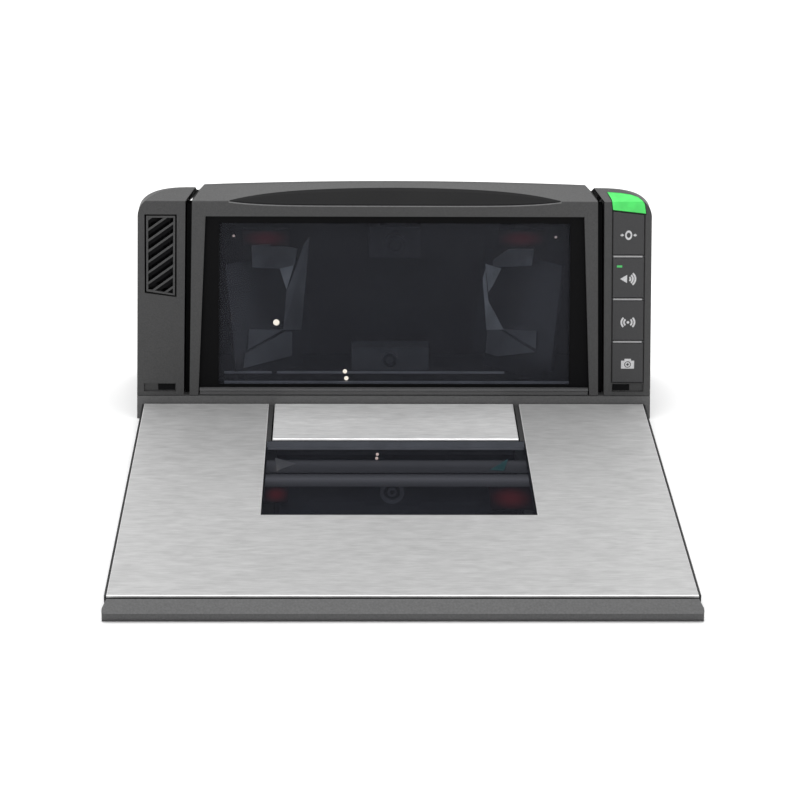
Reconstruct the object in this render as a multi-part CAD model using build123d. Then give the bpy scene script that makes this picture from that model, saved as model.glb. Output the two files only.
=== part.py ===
from build123d import *
import math
import os

# Counter-top scanner-scale with a horizontal weighing platter and a vertical scan tower.
# Frame: X to the operator's right, Y back towards the tower, Z up, millimetres.
# The origin is the centre of the footprint, on the surface that the levelling feet stand on.

# ---- overall size -------------------------------------------------------------------
WIDTH = 292.0
LENGTH = 398.0
PLATTER_Z = 101.6
HEIGHT = 228.6
HALF_W = WIDTH / 2
BACK_Y = LENGTH / 2
FRONT_Y = -LENGTH / 2
COUNTER_Z = 92.5
GAP = 0.3

# ---- tower --------------------------------------------------------------------------
TOWER_Y = 107.0
EDGE_Z = 219.8
CREST_Y = 118.0
SHOULDER = (178.0, 206.0)
BODY_Z = 106.3
SPLIT_Y = 152.0
WALL = 2.5
TOP_ARC_R = 2603.0
CREST_ROUNDING = 0.42
POD_CREST_Z = 225.6
POD_CORNER_X = 113.0
POD_CORNER_Z = 209.0
POD_CORNER_RISE = 16.0
POD_CORNER_POWER = 2.7
ROOF_FALL = 0.34
FRONT_EDGE_R = 1.0
NOTCH_TOP_X = 106.7
NOTCH_TOP_Z = 226.4
POD_TIP_X = 111.6
GROOVE_FLOOR_Z = 208.2
GROOVE_FALL = 0.262
CENTRE_TOP_HALF = 113.0
CENTRE_DRAFT = 0.0267
POD_INNER_TOP = 116.7
POD_INNER_DRAFT = 0.0229
POD_OUTER_TOP = 143.4
OUTER_DRAFT = 0.0216
WINDOW_TOP_Z = 211.0
WINDOW_TOP_HALF = 105.7
WINDOW_DRAFT = 0.051
GLASS_Y = 110.7
GLASS_T = 3.0
PLINTH_TOP_Z = 105.9
CHASSIS_Y = 113.9
BADGE_HALF = 94.2
BADGE_DEPTH = 1.6
BADGE_LEAN = 49.8
BADGE_POWER = 5.5
BADGE_T = 0.4

# ---- optics behind the tower window; mirrors and lamps drawn on the right -----------
MIRROR_AT = (72.0, 146.0, 146.0)
MIRROR_TURN = -42.0
MIRROR_TILT = -8.0
MIRROR_SIZE = (58.0, 2.5, 62.0)
LAMP_X = (65.0, 73.0, 81.0)
LAMP_Z = 188.0
LAMP_R = 2.4
TOWER_CAMERA_X = 0.7
TOWER_CAMERA_Z = 184.0
COLOUR_CAMERA_X = -2.0
COLOUR_CAMERA_Z = 116.0

# ---- keys and light on the right pod ------------------------------------------------
KEY_PITCH = 25.0
KEY_TOP_Z = 213.3
KEY_TOP_FALL = 1.0
KEY_DIVIDER_Z = 188.4
KEY_LINE = 1.0
KEY_BOTTOM_Z = KEY_DIVIDER_Z - 3 * KEY_PITCH + 0.8
KEY_CENTRE_X = 130.7
KEY_CENTRE_Z = 200.0
KEY_LEAN = 0.0212
KEY_HALF = 8.8
KEY_NAMES = ("zero", "volume", "alert", "camera")
KEY_FACE_Y = 106.6
KEY_DEPTH = 3.8
LENS_BACK_Y = 115.6
DOME_Y = 111.6
BOARD_Y = 113.2

# ---- loudspeaker in the left pod, drawn on the right side and mirrored --------------
GRILLE_OUTLINE = [(121.6, 212.0), (139.6, 212.0), (140.3, 166.4), (122.5, 164.0)]
LOUVRE_PITCH = 6.1
LOUVRE_SLOPE = 36.0
SPEAKER_X = 131.3
SPEAKER_Z = 189.0

# ---- platter ------------------------------------------------------------------------
STEEL_T = 1.2
STEEL_CHAMFER = 0.4
STEEL_HALF = 141.7
STEEL_FRONT_Y = -187.3
STEEL_BACK_Y = 105.9
NOTCH_HALF = 71.0
NOTCH_Y = -76.0
GLASS_HALF = 70.5
GLASS_BACK_Y = 42.0
GLASS_TOP_Z = 101.2
PLATTER_GLASS_T = 4.0
FRAME_Z0 = 97.4
FRAME_Z1 = PLATTER_Z - STEEL_T
PAD_X = 106.0
PAD_FRONT_Y = -150.0
PAD_BACK_Y = 85.0

# ---- lower housing ------------------------------------------------------------------
TUB_HALF = 136.0
TUB_FRONT_Y = -186.0
TUB_BACK_Y = 196.0
TUB_Z0 = 8.0
TUB_Z1 = 88.0
PLATE_Z0 = 5.0
FOOT_X = 118.0
FOOT_Y = 165.0
BOLT_X = 100.0
BOLT_Y = 140.0
BOLT_R = 2.1
FOOT_SHANK_R = 3.0

# ---- weighing mechanism -------------------------------------------------------------
CELL_HALF = 19.0
CELL_Y0 = -122.0
CELL_Y1 = 28.0
CELL_Z0 = 14.0
CELL_Z1 = 39.0
CELL_BORE_R = 9.0
CELL_BORE_SPREAD = 17.0
POST_R = 8.5
POST_TOP_Z = 93.0

# ---- lower optics -------------------------------------------------------------------
OPT_Z0 = 44.0
OPT_Z1 = 92.0
OPT_Y0 = -84.0
OPT_Y1 = 98.0
OPT_HALF = 72.0
CAMERA_X = -1.4
CAMERA_Z = 62.4

# ---- connectors: place in X, shell width and height, mouth width and height ----------
PORT_HALF = 62.0
PORT_Z0 = 18.0
PORT_Z1 = 48.0
PORT_Y = 188.0
PORT_CENTRE_Z = 33.0
PORTS = {
    "power_jack": (-44.0, 18.0, 15.0, 11.0, 9.0),
    "host_jack": (-14.0, 17.0, 14.5, 12.0, 8.4),
    "aux_jack": (14.0, 17.0, 14.5, 12.0, 8.4),
    "usb_jack": (43.0, 16.0, 14.0, 12.2, 7.4),
}

PARTS = {}


# ---- shape helpers ------------------------------------------------------------------
def block(x0, x1, y0, y1, z0, z1):
    """Box between two opposite corners."""
    centre = Pos((x0 + x1) / 2, (y0 + y1) / 2, (z0 + z1) / 2)
    return centre * Box(x1 - x0, y1 - y0, z1 - z0)


def rod(x, y, z0, z1, radius):
    """Upright cylinder."""
    return Pos(x, y, (z0 + z1) / 2) * Cylinder(radius, z1 - z0)


def barrel(x, z, y0, y1, radius):
    """Cylinder lying along Y."""
    return Pos(x, (y0 + y1) / 2, z) * Rot(X=90) * Cylinder(radius, y1 - y0)


def polygon(points):
    return make_face(Polyline(*points, close=True))


def front_prism(points, y0, y1):
    """Outline drawn in X and Z, extruded from y0 to y1."""
    return extrude(Plane.XZ.offset(-y1) * polygon(points), amount=y1 - y0)


def side_prism(points, x0, x1):
    """Outline drawn in Y and Z, extruded from x0 to x1."""
    return extrude(Plane.YZ.offset(x0) * polygon(points), amount=x1 - x0)


def round_upright(shape, radius):
    return fillet(shape.edges().filter_by(Axis.Z), radius)


def mirrored(shape, side):
    """The shape is drawn on the right (+X); side -1 gives its left-hand twin."""
    return shape if side > 0 else mirror(shape, about=Plane.YZ)


def add_pair(name, shape):
    PARTS[name + "_right"] = shape
    PARTS[name + "_left"] = mirrored(shape, -1)


# ---- tower outlines -----------------------------------------------------------------
def centre_half(z):
    return CENTRE_TOP_HALF + (EDGE_Z - z) * CENTRE_DRAFT


def pod_inner(z):
    return POD_INNER_TOP + (EDGE_Z - z) * POD_INNER_DRAFT


def pod_outer(z):
    return POD_OUTER_TOP + (213.0 - z) * OUTER_DRAFT


def window_half(z):
    return WINDOW_TOP_HALF + (WINDOW_TOP_Z - z) * WINDOW_DRAFT


def arch_z(x):
    """Crest height of the centre section, a shallow arch across the tower."""
    return HEIGHT + CREST_ROUNDING - x * x / (2 * TOP_ARC_R)


def side_section(x, crest, inset, bottom):
    """Tower outline seen from the side, with softened crest and rear shoulder."""
    points = [
        (TOWER_Y + inset, bottom),
        (TOWER_Y + inset, EDGE_Z - 0.6 * inset),
        (CREST_Y + 0.2 * inset, crest - 1.15 * inset),
        (SHOULDER[0] - 0.6 * inset, SHOULDER[1] - inset),
        (BACK_Y - inset, bottom),
    ]
    face = polygon(points)
    for index, radius in ((1, FRONT_EDGE_R), (2, 3.0), (3, 12.0)):
        corner = face.vertices().sort_by_distance((points[index][0], points[index][1], 0))[0]
        face = fillet(corner, radius)
    return Plane.YZ.offset(x) * face


def centre_blank(inset=0.0, bottom=BODY_Z):
    """Full-width tower volume under the arched crest."""
    reach = HALF_W + 4
    return loft([side_section(x, arch_z(x), inset, bottom) for x in (-reach, 0, reach)])


def pod_blank(inset=0.0, bottom=BODY_Z):
    """Right-hand tower volume under a level crest."""
    start = POD_TIP_X - 6
    return extrude(side_section(start, POD_CREST_Z, inset, bottom), amount=HALF_W + 4 - start)


def run_back(face_at, y0, y1):
    """Extrudes a front outline straight back to the crest, and from there down with the roof."""
    ahead = extrude(face_at(CREST_Y), amount=CREST_Y - y0)
    slant = math.hypot(1, ROOF_FALL)
    behind = extrude(face_at(CREST_Y), amount=(y1 - CREST_Y) * slant, dir=(0, 1, -ROOF_FALL))
    return ahead + behind


def centre_prism(inset, y0, y1):
    """Front outline of the centre section, sides leaning in sharply above the front edge."""
    low = BODY_Z - 20
    points = [
        (-centre_half(low) + inset, low),
        (-centre_half(EDGE_Z) + inset, EDGE_Z - 0.4 * inset),
        (-NOTCH_TOP_X + inset, NOTCH_TOP_Z - 0.4 * inset),
        (-98.0 + inset, NOTCH_TOP_Z + 10),
        (98.0 - inset, NOTCH_TOP_Z + 10),
        (NOTCH_TOP_X - inset, NOTCH_TOP_Z - 0.4 * inset),
        (centre_half(EDGE_Z) - inset, EDGE_Z - 0.4 * inset),
        (centre_half(low) - inset, low),
    ]
    return run_back(lambda y: Plane.XZ.offset(-y) * polygon(points), y0, y1)


def pod_corner(inset):
    """Soft outer top corner of the right pod, a quarter of a superellipse."""
    start = POD_CORNER_X + inset
    reach = pod_outer(POD_CORNER_Z) - inset - start
    rise = POD_CORNER_RISE - inset
    power = 2 / POD_CORNER_POWER
    points = []
    for step in range(9):
        angle = math.radians(90 - 11.25 * step)
        x = start + reach * max(0.0, math.cos(angle)) ** power
        z = POD_CORNER_Z + rise * max(0.0, math.sin(angle)) ** power
        points.append((x, z))
    return Spline(*points, tangents=[(1, 0), (0, -1)]), points[0], points[-1]


def pod_prism(inset, y0, y1):
    """Front outline of the right pod, with its soft outer top corner."""
    low = BODY_Z - 20
    corner, start, end = pod_corner(inset)
    sides = Polyline(
        end,
        (pod_outer(low) - inset, low),
        (pod_inner(low) + inset, low),
        (pod_inner(EDGE_Z) + inset, EDGE_Z - 0.4 * inset),
        (POD_TIP_X + inset, start[1]),
        start,
    )
    face = make_face(Curve() + [corner, sides])
    return run_back(lambda y: Plane.XZ.offset(-y) * face, y0, y1)


def roof_prism(inset, y0, y1):
    """Tower volume without its grooves, between the pods' soft corners."""
    low = BODY_Z - 20
    corner, start, end = pod_corner(inset)
    above = start[1] + 8
    sides = Polyline(end, (pod_outer(low) - inset, low), (0, low), (0, above), (start[0], above), start)
    face = make_face(Curve() + [corner, sides])
    half = run_back(lambda y: Plane.XZ.offset(-y) * face, CREST_Y - 1, y1)
    return (half + mirrored(half, -1)) & block(-HALF_W - 5, HALF_W + 5, y0, y1, 60, HEIGHT + 20)


# ---- tower skins --------------------------------------------------------------------
def badge_cutter(lift=0.0):
    """Shallow scoop across the front top edge; it leaves a slim lens-shaped facet."""
    bed = []
    for step in range(-6, 7):
        share = math.sin(math.radians(15 * step))
        bed.append((BADGE_HALF * share, -BADGE_DEPTH * (1 - abs(share) ** BADGE_POWER)))
    rim = Polyline(bed[-1], (BADGE_HALF + 6, 6), (-BADGE_HALF - 6, 6), bed[0])
    face = make_face(Curve() + [Spline(*bed), rim])
    scoop = extrude(face, amount=14, both=True)
    # the outline's Y becomes the outward normal of the facet, and it is extruded along the facet
    up_y = -math.sin(math.radians(BADGE_LEAN))
    up_z = math.cos(math.radians(BADGE_LEAN))
    return Pos(0, TOWER_Y + lift * up_y, EDGE_Z + lift * up_z) * Rot(X=90 + BADGE_LEAN) * scoop


def window_outline(grow, bottom):
    top = WINDOW_TOP_Z + grow
    return [
        (-window_half(bottom) - grow, bottom),
        (-window_half(top) - grow, top),
        (window_half(top) + grow, top),
        (window_half(bottom) + grow, bottom),
    ]


def tower_front():
    """Centre fascia: arched shell with the window opening and the recess for the badge."""
    skin = centre_blank() & centre_prism(0, TOWER_Y - 1, SPLIT_Y)
    hollow = centre_blank(WALL, BODY_Z - 8) & centre_prism(WALL, TOWER_Y, SPLIT_Y + 5)
    opening = front_prism(window_outline(0, BODY_Z - 8), TOWER_Y - 2, TOWER_Y + 2 * WALL)
    return skin - hollow - opening - badge_cutter()


def badge_inset():
    """Plain dark lens-shaped plate that fills the scoop in the front edge."""
    skin = centre_blank() & centre_prism(0, TOWER_Y - 1, SPLIT_Y)
    plate = (skin & badge_cutter()) - badge_cutter(BADGE_T)
    reach = BADGE_HALF - 2.0
    return plate & block(-reach, reach, TOWER_Y - 2, SPLIT_Y, EDGE_Z - 10, HEIGHT)


def right_pod_solid():
    return pod_blank() & pod_prism(0, TOWER_Y - 1, SPLIT_Y)


def pod_shell():
    hollow = pod_blank(WALL, BODY_Z - 8) & pod_prism(WALL, TOWER_Y, SPLIT_Y + 5)
    shell = right_pod_solid() - hollow
    slot = block(123.7, 141.8, TOWER_Y - 1, TOWER_Y + 1.6, 108.4, 113.2)
    port = block(124.2, 133.8, TOWER_Y, TOWER_Y + 4, 109.0, 112.9)
    return shell - slot - port


def key_side(z, sign):
    return KEY_CENTRE_X + (KEY_CENTRE_Z - z) * KEY_LEAN + sign * KEY_HALF


def key_outline(z0, z1, shrink):
    """Front outline of a key; the topmost edge falls to the right, along the lens above it."""
    fall = KEY_TOP_FALL if z1 == KEY_TOP_Z else 0.0
    return [
        (key_side(z0, -1) + shrink, z0 + shrink),
        (key_side(z1, -1) + shrink, z1 - shrink + fall),
        (key_side(z1, 1) - shrink, z1 - shrink - fall),
        (key_side(z0, 1) - shrink, z0 + shrink),
    ]


def lens_outline(grow):
    """Front outline of the pole-light lens that wraps over the pod's top corner."""
    return [
        (121.6 - grow, 215.0 - grow),
        (120.9 - grow, 220.4),
        (118.7 - grow, 223.3 + grow),
        (125.9, 222.9 + grow),
        (131.5, 222.3 + grow),
        (135.6 + grow / 2, 221.3 + grow),
        (138.0 + grow, 219.9 + grow / 2),
        (139.2 + grow, 218.2),
        (140.0 + grow, 212.9 - grow),
    ]


def indicator_lens():
    solid = right_pod_solid() & front_prism(lens_outline(0), TOWER_Y - 1, LENS_BACK_Y)
    inner = pod_blank(WALL, BODY_Z - 8)
    return Pos(0, -0.4, 0.3) * (solid - inner)


def right_pod():
    keys = front_prism(key_outline(KEY_BOTTOM_Z, KEY_TOP_Z, -0.6), TOWER_Y - 1, TOWER_Y + 2 * WALL)
    lens = front_prism(lens_outline(0.4), TOWER_Y - 1, LENS_BACK_Y + 0.4)
    lens = lens - pod_blank(WALL, BODY_Z - 8)
    return pod_shell() - keys - lens


def grille_outline(shrink):
    (x0, z0), (x1, z1), (x2, z2), (x3, z3) = GRILLE_OUTLINE
    return [(x0 + shrink, z0 - shrink), (x1 - shrink, z1 - shrink),
            (x2 - shrink, z2 + shrink), (x3 + shrink, z3 + shrink)]


def left_pod():
    cut = front_prism(grille_outline(0), TOWER_Y - 1, TOWER_Y + 2 * WALL)
    return mirrored(pod_shell() - cut, -1)


def speaker_grille():
    """Frame with slanted louvres that rise towards the centre of the tower."""
    rim = front_prism(grille_outline(0.9), TOWER_Y + 0.6, TOWER_Y + 3.5)
    rim = rim - front_prism(grille_outline(2.0), TOWER_Y, TOWER_Y + 4)
    louvres = Part()
    for k in range(10):
        seat = Pos(SPEAKER_X, TOWER_Y, 158.7 + k * LOUVRE_PITCH) * Rot(Y=LOUVRE_SLOPE)
        louvres += seat * Pos(0, 1.7, 0) * Box(30, 1.8, 1.2)
        louvres += seat * Pos(0, 2.8, -1.3) * Box(30, 1.2, 3.0)
    louvres = louvres & front_prism(grille_outline(1.6), TOWER_Y, TOWER_Y + 4)
    return mirrored(rim + louvres, -1)


def speaker_driver():
    frame = block(124.3, 138.3, 110.5, 114.5, 168.5, 209.5)
    frame = round_upright(frame, 1.5)
    cone = front_prism([(126.2, 171), (136.4, 171), (136.4, 207), (126.2, 207)], 110, 112.7)
    magnet = barrel(SPEAKER_X, SPEAKER_Z, 114.5, 123.0, 6.4)
    dome = barrel(SPEAKER_X, SPEAKER_Z, 111.6, 112.8, 3.4)
    return mirrored(frame - cone + magnet + dome, -1)


def sensor_window():
    return block(124.4, 133.6, TOWER_Y + 1.0, TOWER_Y + 3.6, 109.2, 112.7)


def groove_run(grow):
    """The groove beside the centre section runs on over the rear cover, wider and falling."""
    floor_front = GROOVE_FLOOR_Z + GROOVE_FALL - grow
    floor_back = GROOVE_FLOOR_Z - GROOVE_FALL * (BACK_Y - SPLIT_Y) - grow
    outline = [
        (centre_half(EDGE_Z) - 0.6 - grow, 190),
        (centre_half(EDGE_Z) - 0.6 - grow, EDGE_Z),
        (NOTCH_TOP_X - grow, NOTCH_TOP_Z),
        (NOTCH_TOP_X - grow, 240),
        (121.5 + grow, 240),
        (121.5 + grow, 190),
    ]
    floor = [(SPLIT_Y - 1, floor_front), (BACK_Y, floor_back), (BACK_Y, 240), (SPLIT_Y - 1, 240)]
    return front_prism(outline, SPLIT_Y - 1, BACK_Y) & side_prism(floor, 90, 140)


def rear_cover():
    """Hollow rear half of the tower with cooling slots and the run of the two grooves."""
    skin = centre_blank(0, BODY_Z) & roof_prism(0, SPLIT_Y + 0.3, BACK_Y + 1)
    hollow = centre_blank(WALL, BODY_Z - 8) & roof_prism(WALL, SPLIT_Y - 1, BACK_Y + 1)
    for side in (1, -1):
        skin -= mirrored(groove_run(0), side)
        hollow -= mirrored(groove_run(2.0), side)
    cover = skin - hollow
    for k in range(13):
        x = (k - 6) * 13.0
        cover -= block(x - 1.6, x + 1.6, BACK_Y - 25, BACK_Y + 2, 128, 176)
    return cover


def tower_plinth():
    """Skirt under the tower: it rests on the tub and covers the back of the cut-out."""
    low = pod_outer(COUNTER_Z)
    high = pod_outer(PLINTH_TOP_Z)
    sides = [(-low, COUNTER_Z), (-high, PLINTH_TOP_Z), (high, PLINTH_TOP_Z), (low, COUNTER_Z)]
    skirt = front_prism(sides, TOWER_Y, BACK_Y)
    room = block(-HALF_W + 4, HALF_W - 4, TOWER_Y + 3, BACK_Y - 3, COUNTER_Z - 1, PLINTH_TOP_Z - 2.6)
    skirt = skirt - room
    foot = block(-TUB_HALF, TUB_HALF, TOWER_Y, TUB_BACK_Y, TUB_Z1, PLINTH_TOP_Z - 2)
    foot = foot - block(-TUB_HALF + 4, TUB_HALF - 4, TOWER_Y - 1, TUB_BACK_Y - 4, TUB_Z1 - 1, PLINTH_TOP_Z)
    lead = block(-60, 60, 120, 170, PLINTH_TOP_Z - 3, PLINTH_TOP_Z + 1)
    return skirt + foot - lead


# ---- tower interior -----------------------------------------------------------------
def chamber_inside():
    points = [(CHASSIS_Y, 108.5), (CHASSIS_Y, 207.0), (122.0, 209.3), (149.0, 200.4),
              (171.8, 193.0), (178.3, 108.5)]
    return side_prism(points, -104, 104)


def tower_chassis():
    """Dark inner frame: window seat, optical chamber and the strips that close the grooves."""
    seat = front_prism(window_outline(1.5, PLINTH_TOP_Z), CHASSIS_Y, CHASSIS_Y + 2.5)
    shell = [(116.4, 106.0), (116.4, 209.5), (122.0, 212.0), (150.0, 203.0), (174.0, 195.0), (181.0, 106.0)]
    chamber = side_prism(shell, -106.5, 106.5)
    chassis = seat + chamber - chamber_inside()
    strip_side = [(CHASSIS_Y, 106.0), (CHASSIS_Y, 216.5), (118, 217.3), (155, 204.4), (155, 106.0)]
    strip_front = [(centre_half(96) + 0.25, 96), (centre_half(225) + 0.25, 225),
                   (pod_inner(225) - 0.6, 225), (pod_inner(96) - 0.6, 96)]
    strip = front_prism(strip_front, CHASSIS_Y, 155) & side_prism(strip_side, 90, 130)
    tie = block(106, 121, SPLIT_Y + 0.6, 155, PLINTH_TOP_Z, 196)
    for side in (1, -1):
        chassis += mirrored(strip + tie, side)
    return chassis & block(-150, 150, 100, 200, PLINTH_TOP_Z, 240)


def window_bezel():
    """Black border around the tower glass."""
    outer = front_prism(window_outline(1.2, 107.6), TOWER_Y + WALL + 0.15, GLASS_Y - 0.1)
    inner = [(-99.6, 112), (-98.2, 206.5), (98.2, 206.5), (99.6, 112)]
    return outer - front_prism(inner, TOWER_Y, GLASS_Y + 1)


def tower_glass():
    return front_prism(window_outline(-1.5, 108.2), GLASS_Y, GLASS_Y + GLASS_T)


def window_sill():
    """Bright-edged lip along the foot of the window."""
    profile = [(TOWER_Y - 0.5, 110.3), (TOWER_Y - 0.5, 109.1), (TOWER_Y + 1.0, 108.3),
               (TOWER_Y + 1.0, BODY_Z), (TOWER_Y + 2.4, BODY_Z), (TOWER_Y + 2.4, 110.3)]
    return side_prism(profile, -110.2, 110.2)


def tower_mirror():
    seat = Pos(*MIRROR_AT) * Rot(Z=MIRROR_TURN) * Rot(X=MIRROR_TILT)
    plate = seat * Box(*MIRROR_SIZE)
    bracket = seat * Pos(0, 3.5, -34) * Box(44, 6, 30)
    return (plate + bracket) & chamber_inside()


def tower_led_bar():
    board = block(LAMP_X[0] - 5, LAMP_X[2] + 5, 148, 150, LAMP_Z - 5, LAMP_Z + 5)
    stem = block(LAMP_X[1] - 4, LAMP_X[1] + 4, 148, 150, LAMP_Z + 5, 215)
    lamps = Part()
    for x in LAMP_X:
        lamps += barrel(x, LAMP_Z, 145.5, 148, LAMP_R)
    return (board + stem + lamps) & chamber_inside()


def tower_camera():
    x = TOWER_CAMERA_X
    z = TOWER_CAMERA_Z
    body = block(x - 14.7, x + 14.7, 152, 168, z - 9, z + 9)
    stem = block(x - 8.7, x + 8.7, 154, 166, z + 9, 215)
    lens = barrel(x, z, 145, 152, 6.0) - barrel(x, z, 144, 147, 4.6)
    return (body + stem + lens) & chamber_inside()


def colour_camera():
    x = COLOUR_CAMERA_X
    z = COLOUR_CAMERA_Z
    body = block(x - 22, x + 22.5, 147, 160, z - 7.5, z + 6.3)
    lens = barrel(x, z, 142, 147, 4.6) - barrel(x, z, 141, 144, 3.4)
    return body + lens


# ---- keys ---------------------------------------------------------------------------
def key_bed():
    """Frame behind the keys, with the slim bright bars that part them."""
    bed = front_prism(key_outline(KEY_BOTTOM_Z, KEY_TOP_Z, -0.45), TOWER_Y + 0.4, BOARD_Y)
    for index in range(4):
        z0, z1 = key_span(index)
        bed -= front_prism(key_outline(z0, z1, -0.25), TOWER_Y - 1, BOARD_Y + 1)
    for index in range(3):
        z = KEY_DIVIDER_Z - index * KEY_PITCH
        bar = key_outline(z - KEY_LINE / 2, z + KEY_LINE / 2, 0)
        bed += front_prism(bar, TOWER_Y - 0.2, BOARD_Y)
    return bed


def key_span(index):
    """Lower and upper edge of a key, counted from the top."""
    top = KEY_TOP_Z if index == 0 else KEY_DIVIDER_Z - (index - 1) * KEY_PITCH - KEY_LINE / 2 - 0.25
    low = KEY_BOTTOM_Z if index == 3 else KEY_DIVIDER_Z - index * KEY_PITCH + KEY_LINE / 2 + 0.25
    return low, top


def key_cap(index):
    z0, z1 = key_span(index)
    cap = front_prism(key_outline(z0, z1, 0.05), KEY_FACE_Y, KEY_FACE_Y + KEY_DEPTH)
    front = cap.edges().group_by(Axis.Y)[0]
    cap = chamfer(front, 0.35)
    if KEY_NAMES[index] == "volume":
        cap -= block(124.5, 127.7, TOWER_Y - 2, TOWER_Y + 6, 181.9, 183.3)
    return cap


def status_led():
    return block(124.6, 127.6, KEY_FACE_Y - 0.1, KEY_FACE_Y + 2.5, 182.0, 183.2)


def switch_board():
    board = block(122.8, 140.4, BOARD_Y, BOARD_Y + 1.6, 114.5, 211.5)
    for index in range(4):
        low, top = key_span(index)
        board += barrel(key_side(low, 0), (low + top) / 2, DOME_Y, BOARD_Y, 3.0)
    return board


# ---- platter ------------------------------------------------------------------------
def notch(grow, z0, z1):
    return block(-NOTCH_HALF - grow, NOTCH_HALF + grow, NOTCH_Y - grow, TOWER_Y + 1, z0, z1)


def platter_plate():
    """U-shaped steel sheet around the horizontal window and the infill panel."""
    sheet = block(-STEEL_HALF, STEEL_HALF, STEEL_FRONT_Y, STEEL_BACK_Y, FRAME_Z1, PLATTER_Z)
    sheet = sheet - notch(0, FRAME_Z1 - 1, PLATTER_Z + 1)
    return chamfer(sheet.faces().sort_by(Axis.Z)[-1].edges(), STEEL_CHAMFER)


def platter_frame():
    """Moulded tray under the sheet, with side skirts, ribs and the ledge that holds the glass."""
    outer = STEEL_HALF + 1.1
    tray = block(-outer, outer, STEEL_FRONT_Y + 0.4, STEEL_BACK_Y - 0.3, FRAME_Z0, FRAME_Z1)
    tray -= notch(0, FRAME_Z0 - 1, PLATTER_Z)
    for side in (-1, 1):
        edge = sorted((side * (STEEL_HALF + 0.2), side * outer))
        tray += block(edge[0], edge[1], STEEL_FRONT_Y + 0.4, STEEL_BACK_Y - 0.3, FRAME_Z1, PLATTER_Z - 0.3)
        skirt = sorted((side * (outer - 2.0), side * outer))
        tray += block(skirt[0], skirt[1], STEEL_FRONT_Y + 4, STEEL_BACK_Y - 0.3, 93.8, FRAME_Z0)
        for x in (86.0, 126.0):
            tray += block(side * x - 0.9, side * x + 0.9, -172, 98, 94.4, FRAME_Z0)
    for y in (-172.0, -120.0):
        tray += block(-126, 126, y - 0.9, y + 0.9, 94.4, FRAME_Z0)
    z_ledge = GLASS_TOP_Z - PLATTER_GLASS_T
    ledge = block(-74, 74, NOTCH_Y - 3, 43.6, 94.6, FRAME_Z0)
    ledge -= block(-NOTCH_HALF, NOTCH_HALF, NOTCH_Y, 42.3, z_ledge, FRAME_Z0 + 1)
    ledge -= block(-65, 65, NOTCH_Y + 6, 37.5, 90, 100)
    lip = block(-NOTCH_HALF + 0.4, NOTCH_HALF - 0.4, 42.3, 43.6, z_ledge, FRAME_Z1 + 0.3)
    return tray + ledge + lip


def platter_glass():
    pane = block(-GLASS_HALF, GLASS_HALF, NOTCH_Y + 0.4, GLASS_BACK_Y,
                 GLASS_TOP_Z - PLATTER_GLASS_T, GLASS_TOP_Z)
    return round_upright(pane, 1.0)


def front_bumper():
    """Sloping nose strip that hooks over the front wall of the tub."""
    nose = [(FRONT_Y, 94.6), (FRONT_Y + 1.6, COUNTER_Z), (-186.3, COUNTER_Z), (-186.3, 95.0),
            (-190.4, 95.0), (-190.4, 101.0), (-191.3, PLATTER_Z - 0.2), (FRONT_Y, 96.8)]
    plan = [(-143.4, FRONT_Y - 1), (143.4, FRONT_Y - 1), (143.2, -196.0), (141.0, -190.6), (141.0, -186),
            (-141.0, -186), (-141.0, -190.6), (-143.2, -196.0)]
    ends = extrude(Plane.XY.offset(COUNTER_Z - 1) * polygon(plan), amount=12)
    strip = side_prism(nose, -143.4, 143.4) & ends
    corners = strip.edges().filter_by(Axis.Z).group_by(Axis.Y)[0]
    strip = fillet(corners, 1.6)
    hook = block(-128, 128, -190, TUB_FRONT_Y + WALL, COUNTER_Z, 95.0)
    hook += block(-128, 128, TUB_FRONT_Y, TUB_FRONT_Y + WALL, TUB_Z1, COUNTER_Z)
    return strip + hook


def infill_panel():
    """Lift-out steel cover between the horizontal window and the tower."""
    half = 67.6
    y0 = 44.2
    y1 = STEEL_BACK_Y
    panel = block(-half, half, y0, y1, FRAME_Z1, PLATTER_Z)
    panel = chamfer(panel.faces().sort_by(Axis.Z)[-1].edges(), STEEL_CHAMFER)
    panel += block(-half, half, y0, y0 + 1.2, 96.5, FRAME_Z1)
    for side in (-1, 1):
        flange = sorted((side * half, side * (half - 1.2)))
        panel += block(flange[0], flange[1], y0, y1, 96.5, FRAME_Z1)
        for y in (56.0, 96.0):
            panel += block(side * 56 - 3, side * 56 + 3, y - 4, y + 4, 92.0 + GAP, FRAME_Z1)
    return panel


# ---- weighing mechanism -------------------------------------------------------------
def weigh_frame():
    """Cast spider: cross member over the live end of the load cell, rails and four posts."""
    frame = block(-115, 115, -125, -88, 40.2, 56)
    frame -= block(-108, 108, -118, -95, 46, 57)
    for side in (-1, 1):
        rail = block(side * PAD_X - 9, side * PAD_X + 9, PAD_FRONT_Y - 12, PAD_BACK_Y + 12, 56, 66)
        rail = round_upright(rail, 5)
        rail -= block(side * PAD_X - 6, side * PAD_X + 6, -80, PAD_BACK_Y - 14, 60, 67)
        frame += rail
        for y in (PAD_FRONT_Y, PAD_BACK_Y):
            frame += rod(side * PAD_X, y, 66, POST_TOP_Z, POST_R)
    return frame


def platter_pad(x, y):
    """Rubber rest under one corner of the platter."""
    pad = rod(x, y, POST_TOP_Z, FRAME_Z0 - GAP, POST_R - 0.5)
    return fillet(pad.edges().group_by(Axis.Z)[-1], 0.8)


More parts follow.
